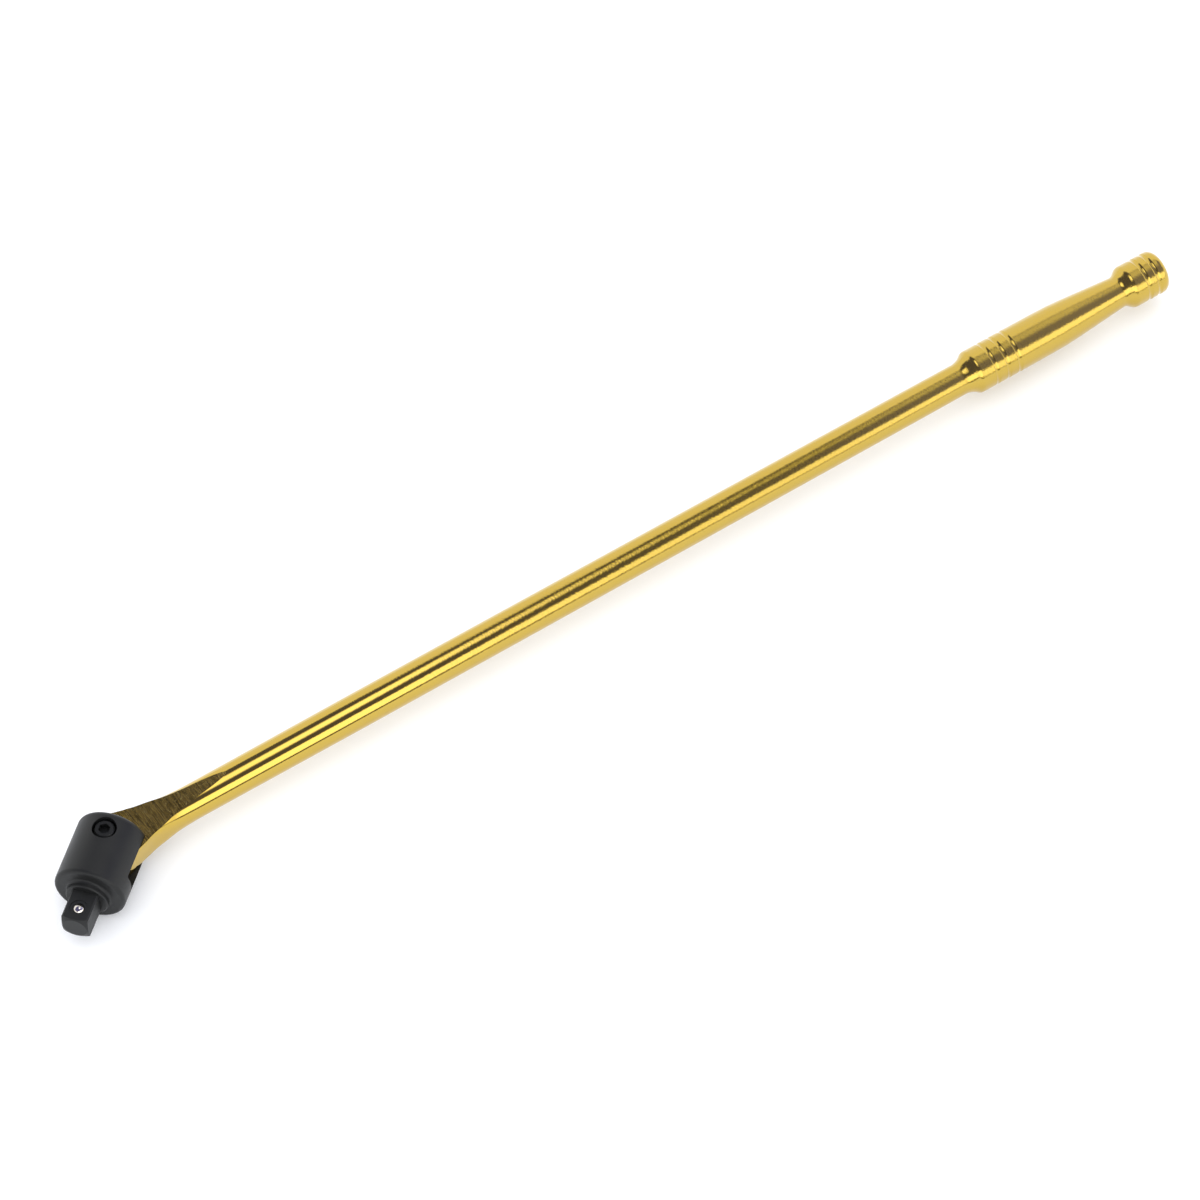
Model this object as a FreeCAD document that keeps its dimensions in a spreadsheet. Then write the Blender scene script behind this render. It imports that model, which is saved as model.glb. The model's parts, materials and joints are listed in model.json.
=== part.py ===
import FreeCAD, Part
import math
import os

import Sketcher
from FreeCAD import Placement, Rotation, Vector

# A half inch square drive breaker bar, about 640 mm long when its head is straight.
#
# The bar is one forged and turned piece: a flat round eye, a flared tang, a slim round shaft and a
# grip turned on its end. The eye sits in the slot of a short cylindrical drive head and turns on a
# hexagon socket screw. A sprung ball in the drive square holds a socket. A spring and two balls
# across the eye press on the walls of the slot, so the head stays at the angle it is set to.
#
# Everything is drawn about the pivot, the crossing of the bar's axis and the screw's axis, with
# +X along the bar to its grip and +Z along the screw to its head. The drive head is drawn with +X
# along its own axis, to the tip of the square, and is then turned to the angle at which it rests.
# The whole tool is lifted to lie on its side on a bench, with the pivot axis upright and the
# frame's origin under the middle of its box. All lengths are in millimetres.

DIMENSIONS = [
    ("rest_bend", 40.0, "angle of the head from straight, in degrees"),
    ("rest_shift_x", -278.183, "pivot from the middle of the box, along the bar"),
    ("rest_shift_y", 8.4, "pivot from the middle of the box, across the bar"),
    ("rest_lift", 17.1, "height of the pivot over the bench"),
    ("shaft_start", 30.0, "where the turned shaft begins, inside the tang"),
    ("shaft_start_rad", 8.3, "radius there"),
    ("swell_end", 140.0, "the shaft is fullest here"),
    ("swell_rad", 8.5, "radius there"),
    ("shaft_mid", 300.0, "middle of the shaft"),
    ("shaft_mid_rad", 8.3, "radius there"),
    ("shaft_end", 450.0, "start of the slimmest stretch"),
    ("shaft_end_rad", 8.0, "radius there"),
    ("flare_start", 479.3, "foot of the cone up to the grip"),
    ("flare_start_rad", 7.85, "radius there"),
    ("collar_start", 483.5, "top of the cone, start of the grip's collar"),
    ("collar_rad", 11.05, "radius of the collar"),
    ("barrel_start", 505.2, "the last collar groove, after which the barrel starts"),
    ("barrel_rad", 10.95, "radius of the barrel and the knob"),
    ("barrel_end", 525.2, "end of the straight barrel"),
    ("taper_start", 541.58, "end of the long rounding into the barrel's taper"),
    ("taper_start_rad", 10.26, "radius there"),
    ("waist_at", 570.7, "waist between the barrel and the knob"),
    ("waist_rad", 7.8, "radius there, before its fillet"),
    ("knob_start", 575.0, "corner of the knob"),
    ("bar_end", 595.0, "end of the bar"),
    ("flare_fillet", 11.0, "hollow at the foot of the collar's cone"),
    ("collar_round", 3.5, "rounding of the collar's corner"),
    ("barrel_round", 195.0, "long rounding into the taper"),
    ("waist_fillet", 5.0, "hollow of the waist"),
    ("knob_round", 4.0, "rounding of the knob's corner and end"),
    ("groove_cutter_rad", 2.4, "radius of the tool that turns the grooves"),
    ("groove_depth", 0.32, "depth of a collar groove"),
    ("collar_groove_at", 492.2, "first collar groove"),
    ("collar_groove_span", 13.0, "first to last collar groove"),
    ("knob_groove_at", 582.6, "first knob groove"),
    ("knob_groove_span", 5.7, "first to last knob groove"),
    ("knob_groove_depth", 0.4, "depth of a knob groove"),
    ("tongue_half", 5.75, "half the thickness of the eye"),
    ("eye_rad", 15.2, "radius of the eye"),
    ("cut_start", 4.0, "start of the flat cutters' path, over the eye"),
    ("shoulder_foot", 15.1, "foot of the ramp from the eye up to the flats"),
    ("shoulder_top", 15.8, "top of the ramp"),
    ("shoulder_half", 5.9, "half the thickness at the top of the ramp"),
    ("flat_end", 66.0, "where the flats run out on the round shaft"),
    ("flat_end_half", 8.44, "half the thickness there"),
    ("cut_clear", 14.0, "height of the flat cutters' path"),
    ("eye_edge", 0.5, "chamfer round the eye"),
    ("pivot_bore_rad", 4.05, "bore of the eye and of the near ear"),
    ("friction_bore_rad", 2.05, "cross bore for the friction balls"),
    ("friction_offset", 9.3, "cross bore from the pivot"),
    ("friction_ball_rad", 2.0, "radius of a friction ball"),
    ("friction_ball_at", 4.09, "height of a friction ball's middle"),
    ("friction_coil_rad", 1.45, "radius of the friction spring's coil"),
    ("friction_wire_rad", 0.25, "radius of its wire"),
    ("friction_pitch", 0.85, "its pitch"),
    ("friction_coil_len", 4.6, "its length between wire centres"),
    ("friction_coil_foot", 2.3, "depth of its lowest wire centre under the pivot"),
    ("head_rad", 17.1, "radius of the drive head"),
    ("head_top", 9.4, "pivot to the open end of the head"),
    ("top_round", 2.9, "rounding of that end"),
    ("head_base", 26.2, "pivot to the lower face of the head"),
    ("base_round", 1.9, "rounding of its edge"),
    ("boss_rad", 10.2, "radius of the boss round the square"),
    ("boss_hollow", 1.4, "hollow at the foot of the boss"),
    ("boss_edge", 0.5, "chamfer of the boss"),
    ("boss_end", 29.5, "pivot to the seat of a socket"),
    ("slot_half", 6.1, "half the width of the slot"),
    ("slot_floor", 16.5, "pivot to the floor of the slot"),
    ("slot_corner", 0.8, "rounding along the floor of the slot"),
    ("square_half", 6.35, "half of the half inch square"),
    ("square_chamfer", 0.7, "chamfer of its corners"),
    ("square_tip", 45.4, "pivot to the tip"),
    ("tip_cone_len", 1.5, "length of the turned cone on the tip"),
    ("tip_flat_rad", 5.7, "radius of the flat that it leaves"),
    ("tip_corner_rad", 9.0, "radius at which the cone starts"),
    ("screw_seat", 10.7, "height of the screw head's seat"),
    ("counterbore_rad", 5.8, "counterbore for the screw head"),
    ("thread_rad", 3.0, "threaded hole of the far ear"),
    ("ball_at", 38.4, "pivot to the detent ball"),
    ("ball_rad", 3.0, "radius of the detent ball"),
    ("ball_height", 4.28, "height of its middle over the axis of the head"),
    ("dish_rad", 4.35, "shallow recess round the ball"),
    ("dish_floor", 6.0, "height of its floor"),
    ("lip_rad", 2.655, "lip that keeps the ball in"),
    ("lip_under", 5.7, "height of the lip's underside"),
    ("ball_bore_rad", 3.05, "bore under the lip"),
    ("ball_bore_depth", 9.0, "its depth under the lip"),
    ("ball_coil_rad", 2.0, "radius of the detent spring's coil"),
    ("ball_wire_rad", 0.3, "radius of its wire"),
    ("ball_pitch", 0.85, "its pitch"),
    ("ball_coil_len", 4.575, "its length between wire centres"),
    ("ball_coil_foot", 2.95, "depth of its lowest wire centre under the axis"),
    ("screw_head_rad", 4.8, "radius of the screw's head"),
    ("screw_head_top", 16.0, "height of the top of its head"),
    ("screw_head_edge", 0.6, "chamfer of its head"),
    ("screw_shoulder_rad", 4.0, "radius of its plain shoulder"),
    ("screw_end", 15.4, "depth of its end under the pivot"),
    ("screw_end_edge", 0.6, "chamfer of its end"),
    ("hexagon_flat", 2.5, "half of the hexagon socket, across flats"),
    ("hexagon_corner", 2.8868, "half of it, across corners"),
    ("hexagon_side", 1.4434, "half of one side"),
    ("hexagon_depth", 3.0, "depth of the socket"),
]

# Sections of the forged tang: distance from the pivot, half width, half height before the flats
# are cut, and rounding of the corners.
TANG_SECTIONS = [
    (6.0, 13.9, 7.8, 3.0),
    (11.0, 12.2, 8.0, 3.4),
    (16.0, 10.6, 8.3, 3.4),
    (20.0, 9.6, 8.6, 4.4),
    (26.0, 8.9, 8.8, 5.8),
    (33.0, 8.45, 8.5, 7.1),
    (42.0, 8.0, 8.0, 7.2),
]
TANG_FIELDS = ("at", "side", "height", "round")
LETTERS = "abcdefg"

# How a sketch constraint names the sketch's origin and the points of a line, arc or circle.
ROOT = -1
START = 1
END = 2
CENTRE = 3

doc = FreeCAD.newDocument("BreakerBar")


def make_sheet():
    """Spreadsheet of the driving dimensions, one row each."""
    sheet = doc.addObject("Spreadsheet::Sheet", "Dims")
    rows = list(DIMENSIONS)
    for letter, section in zip(LETTERS, TANG_SECTIONS):
        for field, value in zip(TANG_FIELDS, section):
            rows.append(("tang_%s_%s" % (field, letter), value, "tang section " + letter))
    for row, (alias, value, note) in enumerate(rows, 1):
        sheet.set("A%d" % row, note)
        sheet.set("B%d" % row, str(value))
        sheet.setAlias("B%d" % row, alias)
    doc.recompute()
    return sheet


SHEET = make_sheet()


def words(text):
    """Pairs of sign and word from a sum such as 'barrel_rad - groove_depth'."""
    sign = 1.0
    pairs = []
    for word in text.split():
        if word in "+-":
            sign = 1.0 if word == "+" else -1.0
        else:
            pairs.append((sign, word))
            sign = 1.0
    return pairs


def is_number(word):
    return word[0].isdigit()


def value(text):
    """Value of a sum of aliases and numbers."""
    return sum(sign * float(word if is_number(word) else SHEET.get(word)) for sign, word in words(text))


def formula(text):
    """The same sum as an expression on the sheet."""
    parts = ["%s %s" % ("+" if sign > 0 else "-", word if is_number(word) else "Dims." + word)
             for sign, word in words(text)]
    return " ".join(parts).removeprefix("+ ")


def bind(obj, prop, text):
    obj.setExpression(prop, formula(text))


def new_body(label):
    body = doc.addObject("PartDesign::Body", label)
    body.Label = label
    return body


def new_sketch(body, name, plane, offset="0"):
    """Sketch on one of the body's own origin planes, moved along its normal by offset."""
    sketch = body.newObject("Sketcher::SketchObject", name)
    support = next(item for item in body.Origin.OriginFeatures if item.Role == plane)
    sketch.AttachmentSupport = [(support, "")]
    sketch.MapMode = "FlatFace"
    if offset != "0":
        bind(sketch, ".AttachmentOffset.Base.z", offset)
    doc.recompute()
    return sketch


def fix(sketch, geometry, point, x_text, y_text):
    """Hold a point at sheet coordinates."""
    for kind, text, axis in (("DistanceX", x_text, -2), ("DistanceY", y_text, -1)):
        if text == "0":
            sketch.addConstraint(Sketcher.Constraint("PointOnObject", geometry, point, axis))
        else:
            number = sketch.addConstraint(
                Sketcher.Constraint(kind, ROOT, START, geometry, point, value(text)))
            bind(sketch, "Constraints[%d]" % number, text)


def arc_between(first, last, radius, side):
    """Arc from first to last; its centre is to the left of the way there if side is 1."""
    chord = last - first
    half = chord.Length / 2
    across = Vector(-chord.y, chord.x, 0).normalize()
    centre = first + chord / 2 + across * side * math.sqrt(max(radius ** 2 - half ** 2, 0))
    ends = (first, last) if side > 0 else (last, first)
    angles = [math.atan2(end.y - centre.y, end.x - centre.x) for end in ends]
    return Part.ArcOfCircle(Part.Circle(centre, Vector(0, 0, 1), radius), *angles)


def outline(sketch, points):
    """Closed outline. Each point is (x, y), or (x, y, radius, side) if an arc leaves it."""
    spots = [Vector(value(point[0]), value(point[1]), 0) for point in points]
    count = len(points)
    heads = []
    tails = []
    for index, point in enumerate(points):
        first = spots[index]
        last = spots[(index + 1) % count]
        if len(point) == 2:
            sketch.addGeometry(Part.LineSegment(first, last))
            forward = True
        else:
            sketch.addGeometry(arc_between(first, last, value(point[2]), point[3]))
            number = sketch.addConstraint(Sketcher.Constraint("Radius", index, value(point[2])))
            bind(sketch, "Constraints[%d]" % number, point[2])
            forward = point[3] > 0
        heads.append(START if forward else END)
        tails.append(END if forward else START)
    for index in range(count):
        before = (index - 1) % count
        sketch.addConstraint(
            Sketcher.Constraint("Coincident", before, tails[before], index, heads[index]))
        fix(sketch, index, heads[index], points[index][0], points[index][1])
    doc.recompute()


def circle(sketch, x_text, y_text, radius_text):
    spot = Vector(value(x_text), value(y_text), 0)
    index = sketch.addGeometry(Part.Circle(spot, Vector(0, 0, 1), value(radius_text)))
    fix(sketch, index, CENTRE, x_text, y_text)
    number = sketch.addConstraint(Sketcher.Constraint("Radius", index, value(radius_text)))
    bind(sketch, "Constraints[%d]" % number, radius_text)
    doc.recompute()


def turned(body, kind, name, sketch, axis="H_Axis"):
    """Revolution or Groove of a sketch about one of its own axes."""
    feature = body.newObject("PartDesign::" + kind, name)
    feature.Profile = sketch
    feature.ReferenceAxis = (sketch, [axis])
    doc.recompute()
    return feature


def pad(body, name, sketch, length, both_ways=False):
    feature = body.newObject("PartDesign::Pad", name)
    feature.Profile = sketch
    bind(feature, "Length", length)
    if both_ways:
        feature.SideType = "Symmetric"
    doc.recompute()


def pocket(body, name, sketch, length, both_ways=False):
    """Pocket against the sketch's normal, or to both sides of it. It has to take something away."""
    before = body.Shape.Volume
    feature = body.newObject("PartDesign::Pocket", name)
    feature.Profile = sketch
    bind(feature, "Length", length)
    if both_ways:
        feature.SideType = "Symmetric"
    doc.recompute()
    if body.Shape.Volume > before - 0.01:
        raise RuntimeError("%s takes nothing away" % name)


def drill(body, name, x_text, radius, start, depth):
    """Round hole down from the height start, parallel to Z, on the X axis."""
    sketch = new_sketch(body, name + "_circle", "XY_Plane", start)
    circle(sketch, x_text, "0", radius)
    pocket(body, name, sketch, depth)


def round_ring(body, name, at, radius_at, amount):
    """Fillet on the circle about the bar's axis that is nearest a corner of its turned profile."""
    base = body.Tip
    corner = Vector(value(at), value(radius_at), 0)
    rings = []
    for number, edge in enumerate(base.Shape.Edges, 1):
        curve = edge.Curve
        if isinstance(curve, Part.Circle) and abs(curve.Axis.x) > 0.999:
            gap = (Vector(curve.Center.x, curve.Radius, 0) - corner).Length
            rings.append((gap, "Edge%d" % number))
    feature = body.newObject("PartDesign::Fillet", name)
    feature.Base = (base, [min(rings)[1]])
    bind(feature, "Radius", amount)
    doc.recompute()
    if body.Shape.isNull() or "Invalid" in feature.State:
        raise RuntimeError("%s fails" % name)


def turned_grooves(body, name, at, surface, depth, span, count):
    """Row of equal round-bottomed grooves round the bar."""
    sketch = new_sketch(body, name + "_profile", "XY_Plane")
    circle(sketch, at, surface + " + groove_cutter_rad - " + depth, "groove_cutter_rad")
    first = turned(body, "Groove", name, sketch)
    row = body.newObject("PartDesign::LinearPattern", name + "_row")
    row.Originals = [first]
    row.Direction = (sketch, ["H_Axis"])
    bind(row, "Length", span)
    row.Occurrences = count
    body.Tip = row
    doc.recompute()


def make_grip_and_shaft(body):
    profile = new_sketch(body, "bar_profile", "XY_Plane")
    outline(profile, [
        ("shaft_start", "0"),
        ("bar_end", "0"),
        ("bar_end", "barrel_rad"),
        ("knob_start", "barrel_rad"),
        ("waist_at", "waist_rad"),
        ("taper_start", "taper_start_rad", "barrel_round", 1),
        ("barrel_end", "barrel_rad"),
        ("barrel_start", "barrel_rad"),
        ("barrel_start", "collar_rad"),
        ("collar_start", "collar_rad"),
        ("flare_start", "flare_start_rad"),
        ("shaft_end", "shaft_end_rad"),
        ("shaft_mid", "shaft_mid_rad"),
        ("swell_end", "swell_rad"),
        ("shaft_start", "shaft_start_rad"),
    ])
    turned(body, "Revolution", "turned_bar", profile)
    for name, at, radius_at, amount in (
            ("flare_hollow", "flare_start", "flare_start_rad", "flare_fillet"),
            ("collar_corner", "collar_start", "collar_rad", "collar_round"),
            ("waist_hollow", "waist_at", "waist_rad", "waist_fillet"),
            ("knob_corner", "knob_start", "barrel_rad", "knob_round"),
            ("knob_end", "bar_end", "barrel_rad", "knob_round")):
        round_ring(body, name, at, radius_at, amount)
    turned_grooves(body, "collar_groove", "collar_groove_at", "collar_rad", "groove_depth",
                   "collar_groove_span", 3)
    turned_grooves(body, "knob_groove", "knob_groove_at", "barrel_rad", "knob_groove_depth",
                   "knob_groove_span", 2)


def tang_outline(letter):
    """Rounded rectangle of one tang section, anticlockwise from the lower right corner."""
    side, height, corner = ["tang_%s_%s" % (field, letter) for field in TANG_FIELDS[1:]]
    inner_side = side + " - " + corner
    inner_height = height + " - " + corner
    minus_side = "- " + side
    minus_height = "- " + height
    back_side = minus_side + " + " + corner
    back_height = minus_height + " + " + corner
    return [
        (side, back_height),
        (side, inner_height, corner, 1),
        (inner_side, height),
        (back_side, height, corner, 1),
        (minus_side, inner_height),
        (minus_side, back_height, corner, 1),
        (back_side, minus_height),
        (inner_side, minus_height, corner, 1),
    ]


def make_tang(body):
    """Forged loft from the eye to the shaft, with a ramp and a long flat cut on each side."""
    sections = []
    for letter in LETTERS:
        sketch = new_sketch(body, "tang_" + letter, "YZ_Plane", "tang_at_" + letter)
        outline(sketch, tang_outline(letter))
        sections.append(sketch)
    tang = body.newObject("PartDesign::AdditiveLoft", "forged_tang")
    tang.Profile = sections[0]
    tang.Sections = sections[1:]
    doc.recompute()
    for name, mark in (("near_flat", ""), ("far_flat", "- ")):
        path = new_sketch(body, name + "_path", "XZ_Plane")
        outline(path, [
            ("cut_start", mark + "tongue_half"),
            ("shoulder_foot", mark + "tongue_half"),
            ("shoulder_top", mark + "shoulder_half"),
            ("flat_end", mark + "flat_end_half"),
            ("flat_end", mark + "cut_clear"),
            ("cut_start", mark + "cut_clear"),
        ])
        pocket(body, name, path, "cut_clear + cut_clear + cut_clear", both_ways=True)


def make_eye(body):
    profile = new_sketch(body, "eye_profile", "XZ_Plane")
    outline(profile, [
        ("0", "- tongue_half"),
        ("eye_rad - eye_edge", "- tongue_half"),
        ("eye_rad", "- tongue_half + eye_edge"),
        ("eye_rad", "tongue_half - eye_edge"),
        ("eye_rad - eye_edge", "tongue_half"),
        ("0", "tongue_half"),
    ])
    turned(body, "Revolution", "eye", profile, "V_Axis")
    drill(body, "pivot_bore", "0", "pivot_bore_rad", "eye_rad", "eye_rad + eye_rad")
    drill(body, "friction_bore", "- friction_offset", "friction_bore_rad", "eye_rad",
          "eye_rad + eye_rad")


def make_bar():
    """Bar in one piece: eye, tang, shaft and grip."""
    body = new_body("bar")
    make_grip_and_shaft(body)
    make_tang(body)
    make_eye(body)
    return body


def make_drive_head():
    """Cylindrical head: slot between two ears, boss and drive square."""
    body = new_body("drive_head")
    profile = new_sketch(body, "head_profile", "XY_Plane")
    outline(profile, [
        ("- head_top", "0"),
        ("boss_end", "0"),
        ("boss_end", "boss_rad - boss_edge"),
        ("boss_end - boss_edge", "boss_rad"),
        ("head_base + boss_hollow", "boss_rad", "boss_hollow", -1),
        ("head_base", "boss_rad + boss_hollow"),
        ("head_base", "head_rad - base_round", "base_round", 1),
        ("head_base - base_round", "head_rad"),
        ("- head_top + top_round", "head_rad", "top_round", 1),
        ("- head_top", "head_rad - top_round"),
    ])
    turned(body, "Revolution", "head_blank", profile)

    square = new_sketch(body, "square_section", "YZ_Plane", "boss_end - 1")
    corners = []
    for first, last in (("", ""), ("- ", ""), ("- ", "- "), ("", "- ")):
        flat = (first + "square_half", last + "square_half")
        y_cut = (flat[0] + (" - " if not first else " + ") + "square_chamfer", flat[1])
        z_cut = (flat[0], flat[1] + (" - " if not last else " + ") + "square_chamfer")
        corners += [z_cut, y_cut] if first == last else [y_cut, z_cut]
    outline(square, corners)
    pad(body, "drive_square", square, "square_tip - boss_end + 1")

    cone = new_sketch(body, "tip_cone_profile", "XY_Plane")
    outline(cone, [
        ("square_tip - tip_cone_len", "tip_corner_rad"),
        ("square_tip", "tip_flat_rad"),
        ("square_tip", "tip_corner_rad"),
    ])
    turned(body, "Groove", "tip_cone", cone)

    slot = new_sketch(body, "slot_outline", "XZ_Plane")
    outline(slot, [
        ("- head_top - 1", "- slot_half"),
        ("slot_floor - slot_corner", "- slot_half", "slot_corner", 1),
        ("slot_floor", "- slot_half + slot_corner"),
        ("slot_floor", "slot_half - slot_corner", "slot_corner", 1),
        ("slot_floor - slot_corner", "slot_half"),
        ("- head_top - 1", "slot_half"),
    ])
    pocket(body, "slot", slot, "head_rad + head_rad + 2", both_ways=True)

    drill(body, "screw_counterbore", "0", "counterbore_rad", "head_rad", "head_rad - screw_seat")
    drill(body, "near_ear_bore", "0", "pivot_bore_rad", "screw_seat", "screw_seat")
    drill(body, "far_ear_thread", "0", "thread_rad", "0", "head_rad + 1")
    drill(body, "ball_dish", "ball_at", "dish_rad", "square_half", "square_half - dish_floor")
    drill(body, "ball_lip", "ball_at", "lip_rad", "dish_floor", "dish_floor - lip_under")
    drill(body, "ball_bore", "ball_at", "ball_bore_rad", "lip_under", "ball_bore_depth")
    return body


def make_pivot_screw():
    """Shouldered screw with a hexagon socket, threaded into the far ear."""
    body = new_body("pivot_screw")
    profile = new_sketch(body, "screw_profile", "XZ_Plane")
    outline(profile, [
        ("0", "- screw_end"),
        ("thread_rad - screw_end_edge", "- screw_end"),
        ("thread_rad", "- screw_end + screw_end_edge"),
        ("thread_rad", "- slot_half"),
        ("screw_shoulder_rad", "- slot_half"),
        ("screw_shoulder_rad", "screw_seat"),
        ("screw_head_rad", "screw_seat"),
        ("screw_head_rad", "screw_head_top - screw_head_edge"),
        ("screw_head_rad - screw_head_edge", "screw_head_top"),
        ("0", "screw_head_top"),
    ])
    turned(body, "Revolution", "screw_blank", profile, "V_Axis")
    hexagon = new_sketch(body, "socket_hexagon", "XY_Plane", "screw_head_top")
    outline(hexagon, [
        ("hexagon_corner", "0"),
        ("hexagon_side", "hexagon_flat"),
        ("- hexagon_side", "hexagon_flat"),
        ("- hexagon_corner", "0"),
        ("- hexagon_side", "- hexagon_flat"),
        ("hexagon_side", "- hexagon_flat"),
    ])
    pocket(body, "hexagon_socket", hexagon, "hexagon_depth")
    return body


def make_ball(label, radius):
    ball = doc.addObject("Part::Sphere", label)
    ball.Label = label
    bind(ball, "Radius", radius)
    return ball


def make_spring(label, coil, wire, pitch, length):
    """Round wire swept along a helix that stands on the origin."""
    helix = doc.addObject("Part::Helix", label + "_helix")
    bind(helix, "Radius", coil)
    bind(helix, "Pitch", pitch)
    bind(helix, "Height", length)
    section = doc.addObject("Part::Circle", label + "_wire")
    bind(section, "Radius", wire)
    section.Placement = Placement(Vector(value(coil), 0, 0), Rotation(Vector(1, 0, 0), 90))
    spring = doc.addObject("Part::Sweep", label)
    spring.Label = label
    spring.Sections = [section]
    spring.Spine = helix
    spring.Solid = True
    spring.Frenet = True
    doc.recompute()
    return spring


def place(obj, turn="0", at="0", height="0"):
    """Set a sub-part on the X axis of its frame, turn that about the pivot, and lay it down."""
    on_bench = Vector(value("rest_shift_x"), value("rest_shift_y"), value("rest_lift"))
    bent = Placement(on_bench, Rotation(Vector(0, 0, 1), value(turn)))
    obj.Placement = bent.multiply(Placement(Vector(value(at), 0, value(height)), Rotation()))


def make_parts():
    """All sub-parts, each where it lies when the tool is at rest."""
    head_turn = "180 + rest_bend"
    bar = make_bar()
    place(bar)
    parts = [bar]
    for label, mark in (("upper_friction_ball", ""), ("lower_friction_ball", "- ")):
        ball = make_ball(label, "friction_ball_rad")
        place(ball, "0", "- friction_offset", mark + "friction_ball_at")
        parts.append(ball)
    spring = make_spring("friction_spring", "friction_coil_rad", "friction_wire_rad",
                         "friction_pitch", "friction_coil_len")
    place(spring, "0", "- friction_offset", "- friction_coil_foot")
    parts.append(spring)
    for piece in (make_drive_head(), make_pivot_screw()):
        place(piece, head_turn)
        parts.append(piece)
    ball = make_ball("drive_ball", "ball_rad")
    place(ball, head_turn, "ball_at", "ball_height")
    parts.append(ball)
    spring = make_spring("drive_ball_spring", "ball_coil_rad", "ball_wire_rad", "ball_pitch",
                         "ball_coil_len")
    place(spring, head_turn, "ball_at", "- ball_coil_foot")
    parts.append(spring)
    doc.recompute()
    return parts


def check(parts):
    """Stop if any object failed or any sub-part has no sound solid."""
    for obj in doc.Objects:
        if "Invalid" in obj.State or "Error" in obj.State:
            raise RuntimeError("%s is in state %s" % (obj.Name, obj.State))
    for part in parts:
        if part.Shape.isNull() or not part.Shape.isValid() or not part.Shape.Solids:
            raise RuntimeError("%s has no sound solid" % part.Label)


def export(parts):
    os.makedirs("parts", exist_ok=True)
    for part in parts:
        part.Shape.exportStep("parts/%s.step" % part.Label)
        print("%-20s %8.1f mm3" % (part.Label, part.Shape.Volume))


PARTS = make_parts()
check(PARTS)
export(PARTS)
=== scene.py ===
# %% [markdown]
# # A breaker bar, finished in Blender
#
# The tool comes from CAD as eight solids: a forged and turned bar, a drive head, its pivot screw,
# and the small balls and springs inside. Their shapes and places are fixed. This lesson gives them
# their finishes. It makes two of them again at the same size: the bar, because a mirror needs a
# smoother mesh than CAD gives, and the spring under the sprung ball, wound again from round wire.
# Then it sets up the bench, the lights and the camera. The bar is a mirror, so most of its look is
# what stands around it, and the lighting cells matter as much as the materials.

# %% Load the fixed frame
import json
import math

import bpy
from mathutils import Matrix, Vector


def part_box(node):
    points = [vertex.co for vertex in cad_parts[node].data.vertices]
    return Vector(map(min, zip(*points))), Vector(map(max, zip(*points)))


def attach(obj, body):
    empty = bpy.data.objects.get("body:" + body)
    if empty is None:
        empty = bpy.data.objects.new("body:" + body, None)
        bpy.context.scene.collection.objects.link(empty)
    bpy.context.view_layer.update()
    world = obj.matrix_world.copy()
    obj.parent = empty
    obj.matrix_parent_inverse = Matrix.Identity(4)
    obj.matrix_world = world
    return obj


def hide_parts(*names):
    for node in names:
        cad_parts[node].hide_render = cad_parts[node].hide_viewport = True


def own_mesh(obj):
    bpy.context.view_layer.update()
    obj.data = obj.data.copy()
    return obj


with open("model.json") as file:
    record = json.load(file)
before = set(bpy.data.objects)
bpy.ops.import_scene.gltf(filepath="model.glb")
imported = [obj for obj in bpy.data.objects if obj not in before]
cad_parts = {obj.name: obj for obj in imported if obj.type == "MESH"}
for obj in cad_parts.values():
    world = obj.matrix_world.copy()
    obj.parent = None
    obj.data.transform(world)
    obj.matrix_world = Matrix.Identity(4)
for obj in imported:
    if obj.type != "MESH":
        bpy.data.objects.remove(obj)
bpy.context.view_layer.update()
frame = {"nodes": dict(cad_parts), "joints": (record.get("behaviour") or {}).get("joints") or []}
nodes = frame["nodes"]
joints = {joint["name"]: joint for joint in frame["joints"]}
print("CAD nodes:", sorted(nodes))

# %% [markdown]
# ## Where things are
#
# Positions come from the frame. The head's hinge gives the pivot, and the bar runs from there
# along +X. MM turns millimetres into Blender's metres.

# %% Places read from the frame
MM = 0.001
PIVOT = Vector(joints["head_pivot"]["pos_m"])
print("pivot at", tuple(round(value / MM, 1) for value in PIVOT), "mm")

# %% [markdown]
# ## Helpers for node materials
#
# Colours are written as the hex values that a colour picker shows. Those are sRGB, and a shader
# works in linear light, so one function converts them. One more function adds a node, sets its
# inputs and links it, so that each material below reads as a list of its layers.

# %% Colour and node helpers
def linear(hex_text):
    """Linear RGBA of an sRGB hex colour such as 'd8b24a'."""
    parts = [int(hex_text[place:place + 2], 16) / 255 for place in (0, 2, 4)]
    light = [part / 12.92 if part < 0.04045 else ((part + 0.055) / 1.055) ** 2.4 for part in parts]
    return light + [1.0]


def add(tree, kind, settings=None, **inputs):
    """Add a node, set its properties, and set or link its inputs by name (or by number, as i0)."""
    node = tree.nodes.new(kind)
    for key, value in (settings or {}).items():
        setattr(node, key, value)
    for key, value in inputs.items():
        label = int(key[1:]) if key[1:].isdigit() else key.replace("_", " ")
        socket = node.inputs[label]
        if isinstance(value, bpy.types.NodeSocket):
            tree.links.new(value, socket)
        else:
            socket.default_value = value
    return node


def new_material(name):
    """Empty node material, with its tree."""
    material = bpy.data.materials.new(name)
    material.use_nodes = True
    material.node_tree.nodes.clear()
    return material, material.node_tree


def finish_material(tree, surface):
    """Join the surface shader to the material's output."""
    output = tree.nodes.new("ShaderNodeOutputMaterial")
    tree.links.new(surface, output.inputs["Surface"])


def dress(names, material):
    """Give CAD nodes one material over their whole surface."""
    for name in names:
        mesh = nodes[name].data
        mesh.materials.clear()
        mesh.materials.append(material)


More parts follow.
